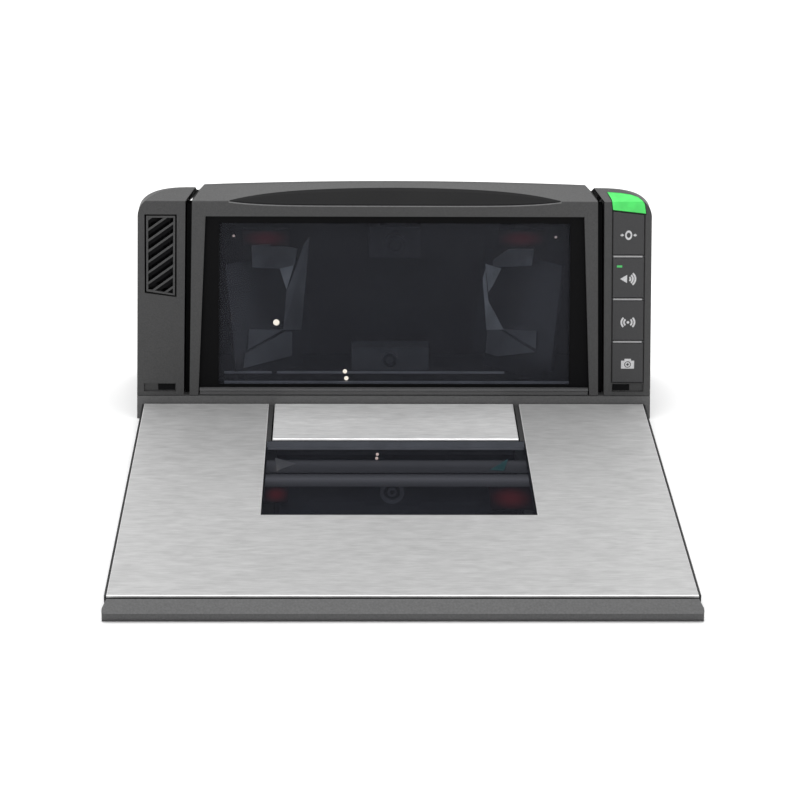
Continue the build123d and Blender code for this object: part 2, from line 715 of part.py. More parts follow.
def load_cell():
    """Single-point aluminium beam with the usual double bore in its flexing middle."""
    beam = block(-CELL_HALF, CELL_HALF, CELL_Y0, CELL_Y1, CELL_Z0, CELL_Z1)
    y_mid = (CELL_Y0 + CELL_Y1) / 2
    z_mid = (CELL_Z0 + CELL_Z1) / 2
    for y in (y_mid - CELL_BORE_SPREAD, y_mid + CELL_BORE_SPREAD):
        beam -= Pos(0, y, z_mid) * Rot(Y=90) * Cylinder(CELL_BORE_R, 2 * CELL_HALF + 12)
    beam -= block(-CELL_HALF - 6, CELL_HALF + 6, y_mid - CELL_BORE_SPREAD, y_mid + CELL_BORE_SPREAD,
                  z_mid - 4, z_mid + 4)
    for y in (-112.0, -98.0, 4.0, 18.0):
        beam -= rod(0, y, 10, 45, 3.3)
    return beam


def load_cell_block():
    return block(-CELL_HALF - 3, CELL_HALF + 3, CELL_Y1 - 30, CELL_Y1 + 2, TUB_Z0 + WALL, CELL_Z0)


# ---- lower optics -------------------------------------------------------------------
def optics_room():
    """Hollow inside the lower chamber."""
    half = OPT_HALF - WALL
    return block(-half, half, OPT_Y0 + WALL, OPT_Y1 - WALL, OPT_Z0 + WALL, OPT_Z1 - WALL)


def lower_optics_body():
    """Sealed dark chamber under the horizontal window, on four legs."""
    body = block(-OPT_HALF, OPT_HALF, OPT_Y0, OPT_Y1, OPT_Z0, OPT_Z1)
    body = round_upright(body, 4)
    body -= optics_room()
    body -= block(-62, 62, -67, 35, 80, 95)
    body -= block(-64.2, 64.2, -69.2, 37.2, 90.2, 95)
    for x in (-58, 58):
        for y in (-72, 84):
            body += rod(x, y, TUB_Z0 + WALL, OPT_Z0, 6)
    return body


def lower_window():
    return block(-64, 64, -69, 37, 90.2, OPT_Z1)


def lower_mirror():
    plate = Pos(46, -20, 66) * Rot(Y=-48) * Box(62, 92, 2.2)
    keep = block(0, OPT_HALF, OPT_Y0, OPT_Y1, OPT_Z0, OPT_Z1 - WALL - 0.2)
    return plate & optics_room() & keep


def lower_camera():
    body = block(CAMERA_X - 15.5, CAMERA_X + 15.5, 74, OPT_Y1 - WALL, CAMERA_Z - 10.5, CAMERA_Z + 10.5)
    lens = barrel(CAMERA_X, CAMERA_Z, 67, 74, 7.0) - barrel(CAMERA_X, CAMERA_Z, 66, 69, 5.4)
    return body + lens


def lower_led_bar():
    board = block(57, OPT_HALF - WALL, 66, 68, 52, 68)
    for z in (56.5, 63.5):
        board += barrel(63.5, z, 63.6, 66, 2.3)
    return board


def calibration_cover():
    """Small screwed plate over the scale's calibration switch."""
    cover = round_upright(block(-20, 20, 60, 92, OPT_Z1, OPT_Z1 + 1.6), 3)
    for x in (-15, 15):
        cover += rod(x, 76, OPT_Z1 + 1.6, OPT_Z1 + 2.8, 2.6)
        cover -= block(x - 2.2, x + 2.2, 75.7, 76.3, OPT_Z1 + 2.2, OPT_Z1 + 3)
    return cover


# ---- tub, base plate and connectors -------------------------------------------------
def lower_housing():
    """Deep open tub that hangs below the counter, with vent slots in both long walls."""
    tub = block(-TUB_HALF, TUB_HALF, TUB_FRONT_Y, TUB_BACK_Y, TUB_Z0, TUB_Z1)
    tub = round_upright(tub, 6)
    room = block(-TUB_HALF + WALL, TUB_HALF - WALL, TUB_FRONT_Y + WALL, TUB_BACK_Y - WALL,
                 TUB_Z0 + WALL, TUB_Z1 + 1)
    tub -= round_upright(room, 4)
    for k in range(10):
        for y_start in (-150.0, 40.0):
            y = y_start + k * 10
            tub -= block(-TUB_HALF - 1, TUB_HALF + 1, y - 1.6, y + 1.6, 46, 76)
    tub -= block(-PORT_HALF, PORT_HALF, TUB_BACK_Y - 5, TUB_BACK_Y + 1, PORT_Z0, PORT_Z1)
    return tub


def base_plate():
    """Steel sole plate with threaded fixing holes and the holes for the feet."""
    plate = block(-TUB_HALF + 2, TUB_HALF - 2, TUB_FRONT_Y + 2, TUB_BACK_Y - 2, PLATE_Z0, TUB_Z0)
    plate = round_upright(plate, 8)
    for sx in (-1, 1):
        for sy in (-1, 1):
            plate -= rod(sx * BOLT_X, sy * BOLT_Y, PLATE_Z0 - 1, TUB_Z0 + 1, BOLT_R)
            plate -= rod(sx * FOOT_X, sy * FOOT_Y, PLATE_Z0 - 1, TUB_Z0 + 1, FOOT_SHANK_R + 0.15)
    return plate


def levelling_foot(x, y):
    pad = rod(x, y, 0, 3.2, 11)
    pad = fillet(pad.edges().group_by(Axis.Z)[0], 1.0)
    return pad + rod(x, y, 3.2, TUB_Z0 - 0.2, FOOT_SHANK_R)


def port_panel():
    """Recessed rear panel with one cut-out for each connector."""
    panel = block(-PORT_HALF - 4, PORT_HALF + 4, PORT_Y, PORT_Y + 2, PORT_Z0 - 3, PORT_Z1 + 3)
    for side in (-1, 1):
        wall = sorted((side * (PORT_HALF + 0.2), side * (PORT_HALF + 2)))
        panel += block(wall[0], wall[1], PORT_Y + 2, TUB_BACK_Y - WALL, PORT_Z0 - 2, PORT_Z1 + 2)
    for x, width, height, _, _ in PORTS.values():
        panel -= block(x - width / 2 - 0.2, x + width / 2 + 0.2, PORT_Y - 1, PORT_Y + 3,
                       PORT_CENTRE_Z - height / 2 - 0.2, PORT_CENTRE_Z + height / 2 + 0.2)
    return panel


def connector(x, width, height, mouth_w, mouth_h):
    """Square shell with an open mouth and a contact tongue at the back of it."""
    z = PORT_CENTRE_Z
    body = block(x - width / 2, x + width / 2, 170, PORT_Y + 2.6, z - height / 2, z + height / 2)
    body -= block(x - mouth_w / 2, x + mouth_w / 2, 177, PORT_Y + 4, z - mouth_h / 2, z + mouth_h / 2)
    body += block(x - mouth_w / 4, x + mouth_w / 4, 176, 178.5, z - 1, z + 1)
    return body


def main_board():
    board = block(-118, 118, 108, 165, 22, 23.6)
    for x in (-110, 110):
        for y in (114, 159):
            board += rod(x, y, TUB_Z0 + WALL, 22, 3)
    for x, y, size, tall in ((-70, 135, 22, 3), (-20, 140, 16, 2.4), (30, 130, 26, 3.4), (80, 145, 14, 10)):
        board += block(x - size / 2, x + size / 2, y - size / 2, y + size / 2, 23.6, 23.6 + tall)
    return board


# ---- assemble the list of nodes -----------------------------------------------------
PARTS["lower_housing"] = lower_housing()
PARTS["base_plate"] = base_plate()
CORNERS = {"front_left": (-1, -1), "front_right": (1, -1), "back_left": (-1, 1), "back_right": (1, 1)}
for corner_name, (corner_x, corner_y) in CORNERS.items():
    PARTS["levelling_foot_" + corner_name] = levelling_foot(corner_x * FOOT_X, corner_y * FOOT_Y)
    pad_y = PAD_FRONT_Y if corner_y < 0 else PAD_BACK_Y
    PARTS["platter_pad_" + corner_name] = platter_pad(corner_x * PAD_X, pad_y)
PARTS["port_panel"] = port_panel()
for port_name, port in PORTS.items():
    PARTS[port_name] = connector(*port)
PARTS["main_board"] = main_board()
PARTS["load_cell_block"] = load_cell_block()
PARTS["load_cell"] = load_cell()
PARTS["weigh_frame"] = weigh_frame()
PARTS["lower_optics_body"] = lower_optics_body()
PARTS["lower_window"] = lower_window()
PARTS["lower_camera"] = lower_camera()
PARTS["calibration_cover"] = calibration_cover()
add_pair("lower_mirror", lower_mirror())
add_pair("lower_led_bar", lower_led_bar())

PARTS["tower_plinth"] = tower_plinth()
PARTS["tower_chassis"] = tower_chassis()
PARTS["tower_front"] = tower_front()
PARTS["badge_inset"] = badge_inset()
PARTS["pod_right"] = right_pod()
PARTS["pod_left"] = left_pod()
PARTS["rear_cover"] = rear_cover()
PARTS["window_bezel"] = window_bezel()
PARTS["window_sill"] = window_sill()
PARTS["tower_glass"] = tower_glass()
PARTS["tower_camera"] = tower_camera()
PARTS["colour_camera"] = colour_camera()
PARTS["speaker_grille"] = speaker_grille()
PARTS["speaker_driver"] = speaker_driver()
PARTS["indicator_lens"] = indicator_lens()
PARTS["key_bed"] = key_bed()
PARTS["switch_board"] = switch_board()
PARTS["status_led"] = status_led()
for key_index, key_name in enumerate(KEY_NAMES):
    PARTS["key_" + key_name] = key_cap(key_index)
add_pair("tower_mirror", tower_mirror())
add_pair("tower_led_bar", tower_led_bar())
add_pair("sensor_window", sensor_window())

PARTS["platter_plate"] = platter_plate()
PARTS["platter_frame"] = platter_frame()
PARTS["platter_glass"] = platter_glass()
PARTS["infill_panel"] = infill_panel()
PARTS["front_bumper"] = front_bumper()

os.makedirs("parts", exist_ok=True)
for node, shape in PARTS.items():
    export_step(shape, "parts/" + node + ".step")
print(len(PARTS), "nodes")
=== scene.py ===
"""Looks of the counter scanner-scale: materials, details, camera and studio around the CAD model."""
import math

import bmesh
import bpy
from mathutils import Matrix, Vector


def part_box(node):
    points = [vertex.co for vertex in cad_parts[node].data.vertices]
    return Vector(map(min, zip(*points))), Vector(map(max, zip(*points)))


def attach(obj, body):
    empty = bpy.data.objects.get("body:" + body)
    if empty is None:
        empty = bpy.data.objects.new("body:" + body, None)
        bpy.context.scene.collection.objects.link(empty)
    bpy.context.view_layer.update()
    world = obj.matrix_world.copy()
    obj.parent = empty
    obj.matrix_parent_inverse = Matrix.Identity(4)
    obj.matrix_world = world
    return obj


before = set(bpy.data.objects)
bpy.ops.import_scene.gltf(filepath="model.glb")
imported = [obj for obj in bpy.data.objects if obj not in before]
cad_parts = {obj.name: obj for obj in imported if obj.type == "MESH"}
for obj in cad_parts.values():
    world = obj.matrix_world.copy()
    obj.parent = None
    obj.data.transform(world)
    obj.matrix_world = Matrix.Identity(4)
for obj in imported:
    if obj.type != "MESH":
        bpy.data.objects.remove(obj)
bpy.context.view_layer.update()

# Metres in a millimetre. Sizes are in millimetres, except the camera's place and the counter's.
MM = 0.001

# ---- camera and counter ------------------------------------------------------------
CAMERA_AT = (-0.02797, -1.55652, 0.64789)
CAMERA_YAW = 0.01887
CAMERA_PITCH = 0.31622
CAMERA_ROLL = 0.00696
CAMERA_LENS = 138.6
CAMERA_SENSOR = 36
CAMERA_NEAR = 0.05
CAMERA_FAR = 60
COUNTER_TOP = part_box("front_bumper")[0].z + 4.3 * MM
COUNTER_REACH = 9.0
# Play between the housing and the cut-out, and how deep the counter's cut-out goes.
CUTOUT_SIDE_GAP = 3
CUTOUT_FRONT_GAP = 2.5
CUTOUT_BACK_GAP = 1.5
CUTOUT_DEPTH = 96
WORLD_STRENGTH = 0.7


class Surface:
    """A Principled material with helpers that add procedural colour, roughness and bump detail."""

    def __init__(self, name, color, roughness, metallic=0.0, specular=0.5):
        self.material = bpy.data.materials.new(name)
        self.material.use_nodes = True
        self.tree = self.material.node_tree
        self.nodes = self.tree.nodes
        self.shader = self.nodes["Principled BSDF"]
        self.color = color
        self.roughness = roughness
        self.shader.inputs["Base Color"].default_value = (*color, 1)
        self.shader.inputs["Roughness"].default_value = roughness
        self.shader.inputs["Metallic"].default_value = metallic
        self.shader.inputs["Specular IOR Level"].default_value = specular
        self.coords = self.nodes.new("ShaderNodeTexCoord")

    def link(self, source, output, target, socket):
        self.tree.links.new(source.outputs[output], target.inputs[socket])

    def noise(self, scale, detail, stretch=(1, 1, 1), rough=0.5):
        """Noise in the piece's own coordinates, squeezed along each axis by stretch."""
        texture = self.nodes.new("ShaderNodeTexNoise")
        texture.inputs["Scale"].default_value = scale
        texture.inputs["Detail"].default_value = detail
        texture.inputs["Roughness"].default_value = rough
        mapping = self.nodes.new("ShaderNodeMapping")
        mapping.inputs["Scale"].default_value = stretch
        self.link(self.coords, "Object", mapping, "Vector")
        self.link(mapping, "Vector", texture, "Vector")
        return texture

    def ramp(self, source, output, low, high, start=0.3, end=0.7):
        """Colour ramp between two colours, driven by a node's output."""
        ramp = self.nodes.new("ShaderNodeValToRGB")
        ramp.color_ramp.elements[0].position = start
        ramp.color_ramp.elements[1].position = end
        ramp.color_ramp.elements[0].color = (*low, 1)
        ramp.color_ramp.elements[1].color = (*high, 1)
        self.link(source, output, ramp, "Fac")
        return ramp

    def vary_color(self, source, amount):
        """Darkens and lightens the base colour by a share of itself."""
        low = tuple(c * (1 - amount) for c in self.color)
        high = tuple(min(1.0, c * (1 + amount)) for c in self.color)
        ramp = self.ramp(source, "Fac", low, high)
        self.link(ramp, "Color", self.shader, "Base Color")

    def vary_roughness(self, source, amount):
        spread = self.nodes.new("ShaderNodeMapRange")
        spread.inputs["To Min"].default_value = self.roughness - amount
        spread.inputs["To Max"].default_value = self.roughness + amount
        self.link(source, "Fac", spread, "Value")
        self.link(spread, "Result", self.shader, "Roughness")

    def bump(self, source, strength, distance):
        """Raises the surface with a texture, by a distance in metres."""
        bump = self.nodes.new("ShaderNodeBump")
        bump.inputs["Strength"].default_value = strength
        bump.inputs["Distance"].default_value = distance
        self.link(source, "Fac", bump, "Height")
        self.link(bump, "Normal", self.shader, "Normal")

    def glow(self, color, strength):
        self.shader.inputs["Emission Color"].default_value = (*color, 1)
        self.shader.inputs["Emission Strength"].default_value = strength

    def see_through(self, share, tint):
        """Lets a share of the light pass straight through, tinted."""
        clear = self.nodes.new("ShaderNodeBsdfTransparent")
        clear.inputs["Color"].default_value = (*tint, 1)
        mix = self.nodes.new("ShaderNodeMixShader")
        mix.inputs["Fac"].default_value = share
        self.link(self.shader, "BSDF", mix, 1)
        self.link(clear, "BSDF", mix, 2)
        self.link(mix, "Shader", self.nodes["Material Output"], "Surface")


# ---- materials ---------------------------------------------------------------------
# Brushed steel: its darkest and lightest tone, the share of broad clouds, and its direction.
BRUSH_DARK = 0.82
BRUSH_LIGHT = 1.16
BRUSH_CLOUD_SHARE = 0.35
BRUSH_ANISOTROPY = 0.4
WINDOW_ROUGHNESS = 0.03
SPOT_REACH = 0.75
BAR_BLUE = 1.1


def moulded(name, color, roughness=0.5, grain=1500, depth=0.35, specular=0.5):
    """Moulded plastic with a fine spark-eroded grain and slight unevenness."""
    surface = Surface(name, color, roughness, specular=specular)
    fine = surface.noise(grain, 4.0)
    broad = surface.noise(28, 2.0)
    surface.vary_color(fine, amount=0.16)
    surface.vary_roughness(broad, amount=0.05)
    surface.bump(fine, strength=depth, distance=0.00012)
    return surface.material


def brushed(name, color, roughness, metallic):
    """Sheet steel brushed from side to side."""
    surface = Surface(name, color, roughness, metallic)
    hair = surface.noise(1150, 5.0, stretch=(0.1, 1.0, 0.4), rough=0.7)
    cloud = surface.noise(230, 3.0, stretch=(0.4, 1.0, 0.4))
    blend = surface.nodes.new("ShaderNodeMix")
    blend.data_type = "FLOAT"
    blend.inputs[0].default_value = BRUSH_CLOUD_SHARE
    surface.link(hair, "Fac", blend, 2)
    surface.link(cloud, "Fac", blend, 3)
    low = tuple(c * BRUSH_DARK for c in color)
    high = tuple(min(1.0, c * BRUSH_LIGHT) for c in color)
    ramp = surface.ramp(blend, 0, low, high, 0.34, 0.66)
    surface.link(ramp, "Color", surface.shader, "Base Color")
    surface.vary_roughness(hair, amount=0.06)
    surface.bump(hair, strength=0.12, distance=0.00004)
    surface.shader.inputs["Anisotropic"].default_value = BRUSH_ANISOTROPY
    return surface.material


def machined(name, color, roughness=0.4):
    """Bare metal with fine marks from front to back."""
    surface = Surface(name, color, roughness, 0.9)
    marks = surface.noise(700, 3.0, stretch=(1.0, 0.06, 1.0))
    surface.vary_color(marks, amount=0.1)
    surface.vary_roughness(marks, amount=0.08)
    surface.bump(marks, strength=0.15, distance=0.00005)
    return surface.material


def cast(name, color):
    """Pitted cast metal."""
    surface = Surface(name, color, 0.55, 0.7)
    pits = surface.noise(420, 5.0)
    surface.vary_color(pits, amount=0.14)
    surface.bump(pits, strength=0.4, distance=0.0002)
    return surface.material


def powder_coat(name, color):
    """Painted sheet metal with a slight orange peel."""
    surface = Surface(name, color, 0.5)
    peel = surface.noise(520, 3.0)
    surface.vary_color(peel, amount=0.1)
    surface.bump(peel, strength=0.35, distance=0.00018)
    return surface.material


def window(name, color, share, tint, specular):
    """Coated scan window with a faint unevenness in its gloss."""
    surface = Surface(name, color, WINDOW_ROUGHNESS, specular=specular)
    haze = surface.noise(18, 3.0)
    surface.vary_color(haze, amount=0.12)
    surface.vary_roughness(haze, amount=0.012)
    surface.see_through(share, tint)
    return surface.material


def mirror_finish(name, color, metallic):
    """Mirror coating with a faint haze."""
    surface = Surface(name, color, 0.12, metallic)
    haze = surface.noise(45, 4.0)
    surface.vary_color(haze, amount=0.1)
    surface.vary_roughness(haze, amount=0.05)
    return surface.material


def circuit(name):
    """Solder mask with a pattern of fine parallel traces."""
    surface = Surface(name, (0.01, 0.07, 0.03), 0.38)
    cells = surface.nodes.new("ShaderNodeTexBrick")
    cells.inputs["Scale"].default_value = 110
    cells.inputs["Mortar Size"].default_value = 0.035
    cells.inputs["Color1"].default_value = (0.008, 0.055, 0.024, 1)
    cells.inputs["Color2"].default_value = (0.012, 0.085, 0.036, 1)
    cells.inputs["Mortar"].default_value = (0.03, 0.16, 0.07, 1)
    surface.link(surface.coords, "Object", cells, "Vector")
    surface.link(cells, "Color", surface.shader, "Base Color")
    surface.bump(cells, strength=0.3, distance=0.00005)
    return surface.material


def lit(name, color, strength, mottled=0.1, scale=300, roughness=0.3):
    """Surface that glows with an uneven light: a lamp, or a painted highlight, glint, reflection or
    lit patch.
    """
    surface = Surface(name, color, roughness)
    cells = surface.noise(scale, 2.0)
    surface.vary_color(cells, amount=mottled)
    surface.glow(color, strength)
    return surface.material


def soft_spot(name, edge, color, spread):
    """Dark surface that glows towards the middle of the piece; spread is 0 along its thin side."""
    surface = Surface(name, edge, 0.6, specular=0.02)
    place = surface.nodes.new("ShaderNodeMapping")
    place.inputs["Location"].default_value = (-1, -1, -1)
    place.inputs["Scale"].default_value = (2, 2, 2)
    surface.link(surface.coords, "Generated", place, "Vector")
    flat = surface.nodes.new("ShaderNodeVectorMath")
    flat.operation = "MULTIPLY"
    flat.inputs[1].default_value = spread
    surface.link(place, "Vector", flat, 0)
    blob = surface.nodes.new("ShaderNodeTexGradient")
    blob.gradient_type = "SPHERICAL"
    surface.link(flat, "Vector", blob, "Vector")
    ramp = surface.ramp(blob, "Fac", edge, color, 0.0, SPOT_REACH)
    surface.link(ramp, "Color", surface.shader, "Emission Color")
    surface.shader.inputs["Emission Strength"].default_value = 1.0
    return surface.material


def fading_bar(name, stops):
    """Bar whose glow, painted light and shade, changes from its front to its back edge; stops are
    place and grey.
    """
    surface = Surface(name, (0.03, 0.03, 0.033), 0.5, specular=0.2)
    split = surface.nodes.new("ShaderNodeSeparateXYZ")
    surface.link(surface.coords, "Generated", split, "Vector")
    front, front_grey = stops[0]
    back, back_grey = stops[-1]
    ramp = surface.ramp(split, "Y", (front_grey,) * 3, (back_grey,) * 3, front, back)
    for place, grey in stops[1:-1]:
        ramp.color_ramp.elements.new(place).color = (grey, grey, grey * BAR_BLUE, 1)
    surface.link(ramp, "Color", surface.shader, "Emission Color")
    surface.shader.inputs["Emission Strength"].default_value = 1.0
    return surface.material


MATERIALS = {
    "shell": moulded("shell_plastic", (0.047, 0.047, 0.0475), 0.46, specular=0.42),
    "pod": moulded("pod_plastic", (0.042, 0.042, 0.0425), 0.46, specular=0.42),
    # roof: a lighter copy of the shell plastic for faces that look up, as painted light.
    "roof": moulded("roof_painted_light", (0.058, 0.058, 0.0585), 0.44, specular=0.5),
    # edge: a light plastic for the badge's lip, a painted highlight along the badge's lower edge.
    "edge": moulded("badge_edge_painted_highlight", (0.15, 0.15, 0.151), 0.35, depth=0.15, specular=0.6),
    "plinth": moulded("plinth_plastic", (0.092, 0.092, 0.093), 0.46, specular=0.42),
    # bumper_front: a darker copy of the bumper plastic for its front faces, as painted shade.
    "bumper_front": moulded("bumper_front_painted_shade", (0.066, 0.066, 0.067), 0.55,
                            grain=900, depth=0.6, specular=0.3),
    "bumper": moulded("bumper_plastic", (0.085, 0.085, 0.086), 0.55,
                      grain=900, depth=0.6, specular=0.35),
    "black": moulded("black_plastic", (0.0025, 0.0025, 0.003), 0.6,
                     grain=900, depth=0.1, specular=0.1),
    "inner": moulded("inner_frame", (0.02, 0.021, 0.025), 0.6,
                     grain=900, depth=0.1, specular=0.2),
    "badge": moulded("badge_plastic", (0.0075, 0.0075, 0.008), 0.6, depth=0.15, specular=0.18),
    "steel": brushed("brushed_steel", (0.455, 0.455, 0.455), 0.45, 0.28),
    "steel_infill": brushed("brushed_steel_infill", (0.67, 0.67, 0.67), 0.45, 0.25),
    # steel_edge: a much lighter copy of the steel for the sheets' chamfers, a painted highlight
    # along their edges.
    "steel_edge": brushed("steel_edge_painted_highlight", (0.92, 0.92, 0.92), 0.3, 0.35),
    "tray": moulded("tray_plastic", (0.016, 0.016, 0.0165), 0.5, specular=0.3),
    "housing": powder_coat("housing_coat", (0.085, 0.086, 0.09)),
    "zinc": machined("zinc_plate", (0.5, 0.51, 0.53), 0.45),
    "cast": cast("cast_aluminium", (0.5, 0.51, 0.52)),
    "machined": machined("machined_aluminium", (0.7, 0.71, 0.72)),
    "glass_up": window("tower_window", (0.057, 0.059, 0.069), 0.74, (0.86, 0.88, 0.92), 0.06),
    "glass_flat": window("platter_window", (0.029, 0.030, 0.036), 0.76, (0.86, 0.88, 0.92), 0.06),
    "inner_glass": window("inner_window", (0.05, 0.051, 0.055), 0.8, (0.95, 0.96, 0.97), 0.1),
    "mirror": mirror_finish("mirror_coating", (0.022, 0.0225, 0.025), 0.3),
    # tile_dim and tile_bright glow: painted reflections on the mirror facets.
    "tile_dim": lit("painted_reflection_dim", (0.10, 0.103, 0.108), 0.09, 0.4, 60),
    "tile_bright": lit("painted_reflection_bright", (0.22, 0.23, 0.24), 0.22, 0.4, 60),
    "rubber": moulded("soft_rubber", (0.018, 0.018, 0.018), 0.75, grain=800, depth=0.5),
    "board": circuit("circuit_board"),
    "jack": moulded("connector_plastic", (0.02, 0.02, 0.021), 0.4),
    "lens_green": lit("green_lens", (0.045, 0.52, 0.09), 0.42, 0.25, 110, 0.3),
    "led_red": lit("red_leds", (0.42, 0.015, 0.02), 0.12, 0.5, 200),
    "tower_glow": soft_spot("tower_red_glow", (0.0015, 0.001, 0.001), (0.055, 0.006, 0.01),
                            (1, 0, 1)),
    "lower_glow": soft_spot("lower_red_glow", (0.004, 0.003, 0.004), (0.055, 0.007, 0.009),
                            (1, 1, 0)),
    "bar_back": fading_bar("fading_bar_back",
                           ((0.0, 0.001), (0.45, 0.012), (0.78, 0.034), (1.0, 0.008))),
    "bar_cross": fading_bar("fading_bar_cross",
                            ((0.0, 0.001), (0.3, 0.02), (0.62, 0.066), (1.0, 0.008))),
    "flare": lit("grey_flare", (0.05, 0.05, 0.052), 0.55, 0.4, 60),
    "flare_teal": lit("teal_flare", (0.012, 0.045, 0.046), 0.6, 0.4, 60),
    # lip: a glowing grey for the frame's lip behind the pane, painted light that makes it show
    # through the glass.
    "lip": lit("pane_lip_painted_glow", (0.2, 0.2, 0.205), 0.34, 0.2, 90, 0.5),
    "led_green": lit("green_light_pipe", (0.06, 0.42, 0.11), 0.2),
    "key": moulded("key_plastic", (0.043, 0.043, 0.0445), 0.55,
                   grain=1800, depth=0.2, specular=0.35),
    "divider": machined("divider_metal", (0.36, 0.36, 0.365), 0.45),
    "icon": moulded("icon_ink", (0.55, 0.55, 0.56), 0.6, depth=0.1),
    # spark and spark_soft: glowing domes that paint glints behind the windows.
    "spark": lit("bright_reflex", (1.0, 0.88, 0.7), 2.0, 0.05),
    "spark_soft": lit("soft_reflex", (0.8, 0.62, 0.55), 0.5, 0.05),
    # rim and rim_dim: grey plastic that glows, painted light on ledges, rims and lens rings seen
    # through the dark windows.
    "rim": lit("rim_plastic", (0.17, 0.172, 0.185), 0.2, 0.2, 90, 0.5),
    "rim_dim": lit("dim_rim_plastic", (0.08, 0.082, 0.088), 0.14, 0.2, 90, 0.5),
    # The colour camera's body glows faintly: painted light, so that it shows through the tower
    # window.
    "inner_painted_glow": lit("camera_body_painted_glow", (0.05, 0.052, 0.056), 0.16, 0.2, 90, 0.5),
    # pale: the sill piece is light grey, a painted highlight along the window's lower edge.
    "pale": moulded("sill_painted_highlight", (0.088, 0.088, 0.09), 0.4, specular=0.45),
}

# Material of each CAD node, then of the nodes whose names start alike.
NODE_MATERIALS = {
    "badge_inset": "badge", "base_plate": "zinc", "calibration_cover": "zinc",
    "colour_camera": "inner_painted_glow", "front_bumper": "bumper", "indicator_lens": "lens_green",
    "infill_panel": "steel_infill", "key_bed": "key", "load_cell": "machined",
    "load_cell_block": "cast", "lower_camera": "inner", "lower_housing": "housing",
    "lower_optics_body": "black", "lower_window": "inner_glass", "main_board": "board",
    "platter_frame": "tray", "platter_glass": "glass_flat", "platter_plate": "steel",
    "pod_left": "pod", "pod_right": "pod", "port_panel": "zinc", "rear_cover": "shell",
    "sensor_window_left": "black", "sensor_window_right": "black", "speaker_driver": "black",
    "speaker_grille": "shell", "status_led": "led_green", "switch_board": "board",
    "tower_camera": "inner", "tower_chassis": "black", "tower_front": "shell",
    "tower_glass": "glass_up", "tower_plinth": "plinth", "weigh_frame": "cast",
    "window_bezel": "black", "window_sill": "pale",
}
FAMILY_MATERIALS = {
    "levelling_foot": "rubber", "platter_pad": "rubber", "lower_mirror": "mirror",
    "tower_mirror": "mirror", "lower_led_bar": "led_red", "tower_led_bar": "led_red",
    "key_": "key", "power_jack": "jack", "host_jack": "jack", "aux_jack": "jack",
    "usb_jack": "jack",
}
# Faces with a second finish: the backs of the lamp boards; the backs of the louvres, black as
# painted shade; the lip behind the pane, glowing as painted light;
# the chamfers of the steel sheets, a painted highlight; faces that look up, a lighter copy of their
# plastic as painted light; and the bumper's faces that look to the front, a darker copy as painted
# shade.
LED_BARS = ("tower_led_bar_left", "tower_led_bar_right", "lower_led_bar_left", "lower_led_bar_right")
LED_BOARD = 2.2
LOUVRE_DEPTH = 0.75
PANE_LIP = 1
CHAMFER_LEAST = 0.2
CHAMFER_MOST = 0.9
FACING = 0.6
SQUARE_ON = 0.9


def material_of(node):
    if node in NODE_MATERIALS:
        return MATERIALS[NODE_MATERIALS[node]]
    for start, key in FAMILY_MATERIALS.items():
        if node.startswith(start):
            return MATERIALS[key]
    raise KeyError(node)


def finish_faces(node, finish, chosen):
    """Gives some faces of a CAD node another finish."""
    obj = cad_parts[node]
    obj.data.materials.append(MATERIALS[finish])
    index = len(obj.data.materials) - 1
    for face in obj.data.polygons:
        if chosen(face):
            face.material_index = index


def dress_cad_nodes():
    """One material for each CAD node, and a second finish for some of its faces, mostly painted
    highlights, glow and shade.
    """
    for node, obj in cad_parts.items():
        obj.data.materials.clear()
        obj.data.materials.append(material_of(node))
    # The steel sheets' chamfers get a painted highlight.
    for node in ("platter_plate", "infill_panel"):
        finish_faces(node, "steel_edge", lambda face: CHAMFER_LEAST < face.normal.z < CHAMFER_MOST)
    for node in LED_BARS:
        board_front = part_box(node)[1].y - LED_BOARD * MM
        finish_faces(node, "black", lambda face, y=board_front: face.center.y > y)
    # The louvres' back faces are black: painted shade deep in the grille.
    louvre_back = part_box("speaker_grille")[0].y + LOUVRE_DEPTH * MM
    finish_faces("speaker_grille", "black", lambda face: face.center.y > louvre_back)
    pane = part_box("platter_glass")
    # The lip behind the pane glows: painted light.
    finish_faces("platter_frame", "lip", lambda face: (
        face.normal.y < -SQUARE_ON and 0 < face.center.y - pane[1].y < PANE_LIP * MM))
    # Faces that look up get a lighter copy of their plastic: painted light.
    for node in ("tower_front", "pod_left", "pod_right", "rear_cover"):
        finish_faces(node, "roof", lambda face: face.normal.z > FACING)
    # The bumper's front faces get a darker copy of its plastic: painted shade.
    finish_faces("front_bumper", "bumper_front", lambda face: face.normal.y < -FACING)


# ---- mesh helpers ------------------------------------------------------------------
BAR_ROUNDING = 0.15


def object_from(name, mesh_edit, material, body):
    """Piece that rides on a body; mesh_edit fills its empty mesh."""
    mesh = bpy.data.meshes.new(name)
    bm = bmesh.new()
    mesh_edit(bm)
    bmesh.ops.recalc_face_normals(bm, faces=bm.faces)
    bm.to_mesh(mesh)
    bm.free()
    mesh.materials.append(MATERIALS[material])
    obj = bpy.data.objects.new(name, mesh)
    bpy.context.scene.collection.objects.link(obj)
    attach(obj, body)
    return obj


def smooth(obj):
    for face in obj.data.polygons:
        face.use_smooth = True


def add_slab(bm, front, back):
    """Closed solid between two outlines that have the same number of points."""
    near = [bm.verts.new(point) for point in front]
    far = [bm.verts.new(point) for point in back]
    bm.faces.new(near)
    bm.faces.new(list(reversed(far)))
    for i in range(len(near)):
        j = (i + 1) % len(near)
        bm.faces.new((near[j], near[i], far[i], far[j]))


def add_prism(bm, outline, y_front, y_back):
    """Outline in x and z, in metres, given thickness from y_front back to y_back."""
    add_slab(bm, [(x, y_front, z) for x, z in outline], [(x, y_back, z) for x, z in outline])


